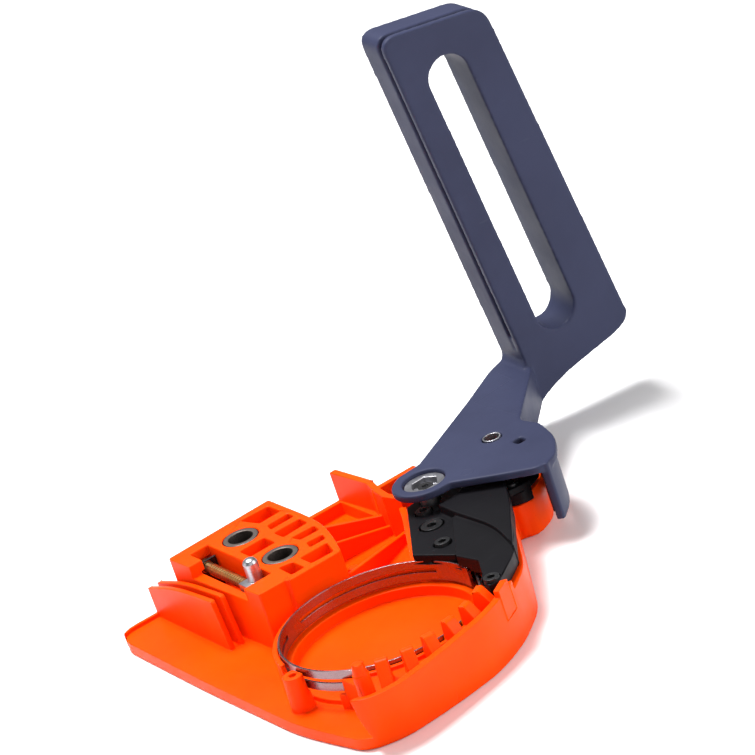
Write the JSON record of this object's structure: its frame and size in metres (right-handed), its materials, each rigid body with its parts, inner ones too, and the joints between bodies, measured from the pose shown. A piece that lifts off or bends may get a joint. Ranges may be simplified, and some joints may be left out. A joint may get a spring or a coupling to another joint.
{
  "type": "chainsaw clutch cover",
  "caption": "Clutch cover of a small chainsaw with bar pad, chain tensioner, band brake and a one-sided upright hand guard that trips the brake.",
  "frame": {"origin": "clutch drum axis on the cover's flat outer face", "axes": "+X to the rear of the saw, +Y up the saw, +Z inward from the cover towards the saw body"},
  "size_m": [0.1647, 0.2219, 0.1677],
  "materials": {
    "orange_cover": "satin",
    "sintered_steel": "satin",
    "brassy_screw": "satin",
    "zinc_nut": "satin",
    "zinc_adjuster": "satin",
    "retainer_steel": "satin",
    "band_steel": "satin",
    "black_steel": "satin",
    "lever_steel": "satin",
    "zinc_plunger": "satin",
    "spring_steel": "satin",
    "black_plate": "matte",
    "guard_plastic": "satin",
    "seal_rubber": "matte",
    "zinc_bush": "satin",
    "zinc_sleeve": "satin"
  },
  "bodies": {
    "cover": {"cover_shell": "orange_cover", "bar_stud_sleeve_front": "sintered_steel", "bar_stud_sleeve_rear": "sintered_steel", "tensioner_retainer": "retainer_steel", "brake_band": "band_steel", "band_anchor_pin": "black_steel", "knee_lever_pin": "black_steel", "spring_seat": "retainer_steel", "brake_spring": "spring_steel", "brake_cover": "black_plate", "cover_screw_1": "black_steel", "cover_screw_2": "black_steel", "cover_screw_3": "black_steel", "cover_screw_4": "black_steel", "pivot_sleeve": "zinc_sleeve", "pivot_screw": "black_steel"},
    "guard": {"hand_guard": "guard_plastic", "guard_seal": "seal_rubber", "guard_drive_bush": "zinc_bush"},
    "knee": {"knee_lever": "lever_steel"},
    "plunger": {"brake_plunger": "zinc_plunger", "band_pull_link": "band_steel"},
    "tension_screw": {"tensioner_screw": "brassy_screw"},
    "tension_nut": {"tensioner_nut": "zinc_nut"},
    "adjuster": {"tensioner_adjuster": "zinc_adjuster"}
  },
  "joints": [
    {"name": "guard_pivot", "type": "hinge", "parent": "cover", "child": "guard", "pos_m": [-0.049, 0.056, 0.028], "axis": [0, 0, 1], "range_deg": [0, 25]},
    {"name": "knee_lever_turn", "type": "hinge", "parent": "cover", "child": "knee", "pos_m": [-0.0321, 0.0452, 0.01], "axis": [0, 0, 1], "range_deg": [0, 13]},
    {"name": "plunger_slide", "type": "slide", "parent": "cover", "child": "plunger", "axis": [-0.8711, 0.4911, 0], "range_m": [0, 0.0031], "deforming": ["brake_spring"]},
    {"name": "adjuster_turn", "type": "hinge", "parent": "cover", "child": "adjuster", "pos_m": [-0.0964, -0.014, 0.01], "axis": [0, 0, 1], "range_deg": [-1440, 1440]},
    {"name": "tension_screw_turn", "type": "hinge", "parent": "cover", "child": "tension_screw", "pos_m": [-0.07, -0.014, 0.0214], "axis": [1, 0, 0], "range_deg": [-1440, 1440]},
    {"name": "tension_nut_slide", "type": "slide", "parent": "cover", "child": "tension_nut", "axis": [1, 0, 0], "range_m": [-0.00321, 0.00321]}
  ],
  "couplings": [
    {"joint": "knee_lever_turn", "follows": "guard_pivot", "ratio": 0.5},
    {"joint": "plunger_slide", "follows": "guard_pivot", "m_per_rad": 0.007},
    {"joint": "tension_screw_turn", "follows": "adjuster_turn", "ratio": 1},
    {"joint": "tension_nut_slide", "follows": "adjuster_turn", "m_per_rad": 0.00012732}
  ]
}
